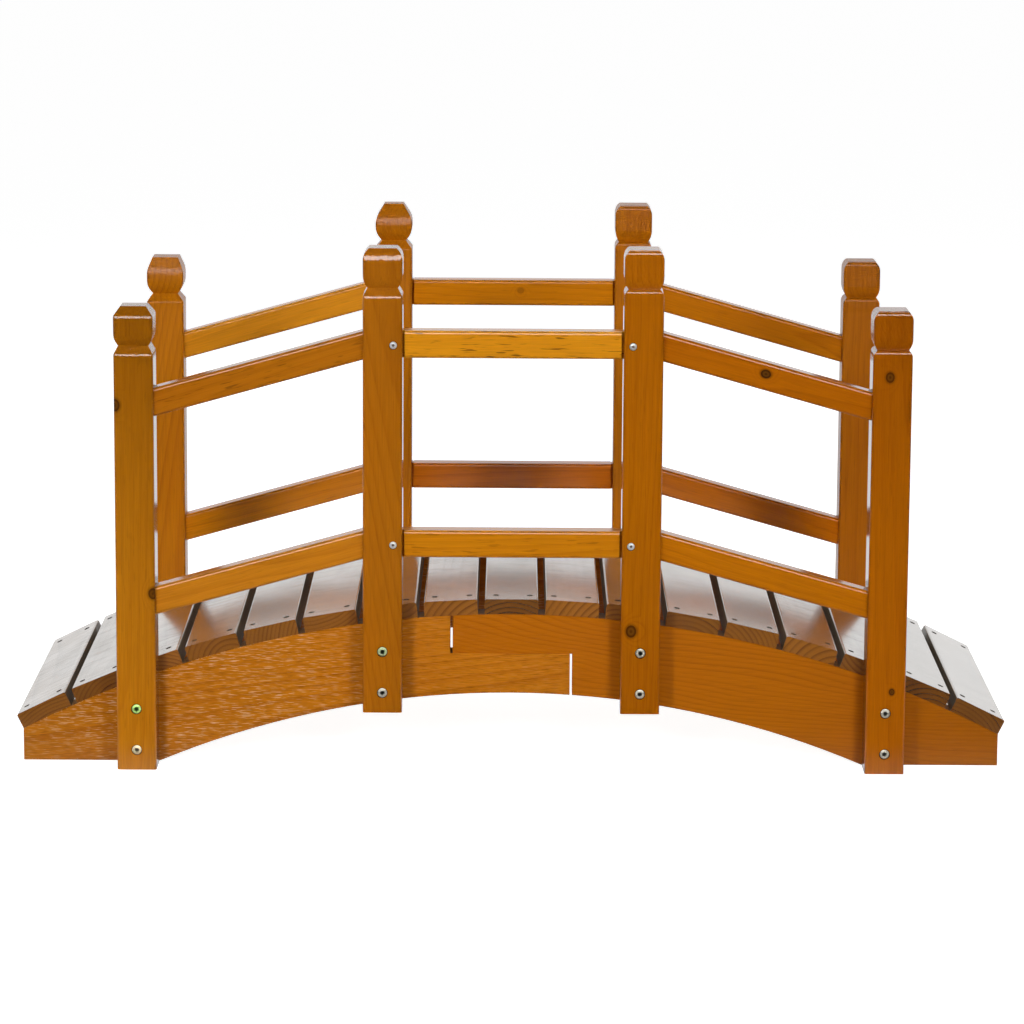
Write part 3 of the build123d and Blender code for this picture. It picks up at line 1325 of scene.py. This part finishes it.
@dataclass
class Studio:
    """Floor, world, lamps and camera.

    Attributes:
        floor_size: Side of the floor.
        floor_level: Height of the floor, a hair under the posts' feet.
        fill: Strength of the even light from all round.
        glow: How much of the floor's whiteness is its own where it is looked at.
        room: How bright the dim room in front of the bridge is in a mirror.
        lens: The camera's focal length, in millimetres.
        camera_place: Where the camera stands.
        camera_turn: Its turn, tip from upright and roll, in degrees.
    """

    floor_size: float = 160.0
    floor_level: float = -0.0004
    fill: float = 0.11
    glow: float = 0.92
    room: float = 0.012
    lens: float = 150.735
    camera_place: tuple[float, float, float] = (-0.00235, -6.71793, 1.57581)
    camera_turn: tuple[float, float, float] = (-0.0191, 90 - 10.3917, 0.3571)

    def set_stage(self) -> None:
        """Build all of it."""
        self.floor()
        self.world()
        centre = (0.0, 0.0, 0.3)
        for s in (-1, 1):
            key, rear = (s * 1.27, -3.9, 1.95), (s * 1.6, 3.9, 1.7)
            aim = (s * 0.42, 0.0, 0.3)
            SoftBox("key_box", key, aim, (0.65, 1.3), 7.4, 50.0, Rays.GLOSSY).hang()
            SoftBox("side_box", (s * 3.0, -2.4, 1.3), (s * 0.1, 0.0, 0.4), (1.1, 1.6), 3.5).hang()
            aim = (s * 0.3, 0.0, 0.3)
            SoftBox("rear_box", rear, aim, (0.9, 1.3), 13.0, hidden=Rays.GLOSSY).hang()
        shine, aim = (0.0, -5.0, 2.35), (0.0, 0.0, 0.45)
        SoftBox("shine_box", shine, aim, (4.1, 2.5), 248.0, hidden=Rays.DIFFUSE).hang()
        SoftBox("back_box", (0.0, 2.6, 3.6), centre, (2.0, 1.0), 26.0).hang()
        self.camera()

    def floor(self) -> None:
        """Lay a white floor that keeps the shadow, and that a mirror sees white only behind."""
        Hand.clear()
        bpy.ops.mesh.primitive_plane_add(size=self.floor_size, location=(0, 0, self.floor_level))
        floor = bpy.context.active_object
        floor.name = "floor"
        material = bpy.data.materials.new("white_floor")
        sheet = NodeSheet(material)
        paint = sheet.add("BsdfDiffuse", {"Color": (0.62, 0.62, 0.62, 1.0)})
        own = self.light(sheet, "Emission", self.looked_at(sheet) * self.glow)
        both = sheet.add("AddShader", {0: paint, 1: own})
        _, depth, _ = sheet.parts(sheet.add("TexCoord", {}, "Object"))
        shine = depth.fade(-0.55, -0.15) * 0.96 + self.room
        mirrored = self.light(sheet, "Emission", shine)
        sheet.close("OutputMaterial", self.swap(sheet, both, mirrored))
        floor.data.materials.append(material)

    def world(self) -> None:
        """White wall behind the bridge, dim room above and in front, and an even light."""
        world = bpy.data.worlds.new("white_room")
        bpy.context.scene.world = world
        sheet = NodeSheet(world)
        _, behind, up = sheet.parts(sheet.add("TexCoord", {}, "Generated"))
        wall = up.fade(0.95, 0.3) * behind.fade(-0.15, 0.25)
        mirrored = self.light(sheet, "Background", wall * 0.96 + self.room * 2)
        strength = self.looked_at(sheet) * (1.0 - self.fill) + self.fill
        even = self.light(sheet, "Background", strength)
        sheet.close("OutputWorld", self.swap(sheet, even, mirrored))

    @staticmethod
    def looked_at(sheet: NodeSheet) -> Link:
        """1 for what the camera sees straight or through something, 0 for the rest."""
        camera = sheet.add("LightPath", {}, "Is Camera Ray")
        return camera.maths("MAXIMUM", sheet.add("LightPath", {}, "Is Transmission Ray"))

    @staticmethod
    def light(sheet: NodeSheet, kind: str, strength: Operand) -> Link:
        """White light of a strength, from a surface or from the world."""
        return sheet.add(kind, {"Color": (1.0, 1.0, 1.0, 1.0), "Strength": strength})

    @staticmethod
    def swap(sheet: NodeSheet, plain: Link, mirrored: Link) -> Link:
        """One shader for what is mirrored, another for everything else."""
        glossy = sheet.add("LightPath", {}, "Is Glossy Ray")
        return sheet.add("MixShader", {0: glossy, 1: plain, 2: mirrored})

    def camera(self) -> None:
        """Place the camera in front of the bridge, a little above its posts."""
        data = bpy.data.cameras.new("camera")
        data.sensor_width = 36.0
        data.lens = self.lens
        data.clip_start, data.clip_end = 0.1, 300.0
        camera = bpy.data.objects.new("camera", data)
        place = Matrix.Translation(self.camera_place)
        for angle, axis in zip(self.camera_turn, "ZXZ"):
            place = place @ Matrix.Rotation(math.radians(angle), 4, axis)
        camera.matrix_world = place
        bpy.context.scene.collection.objects.link(camera)
        bpy.context.scene.camera = camera
        bpy.context.scene.view_settings.view_transform = "Standard"


def main() -> None:
    """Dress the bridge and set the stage."""
    logging.basicConfig(level=logging.INFO, format="%(name)s: %(message)s")
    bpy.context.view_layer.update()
    Posts().dress()
    Rails().dress()
    Beams().dress()
    deck = Deck()
    deck.dress()
    deck.screws()
    SocketBolts().build()
    Studio().set_stage()


if __name__ == "__main__":
    main()
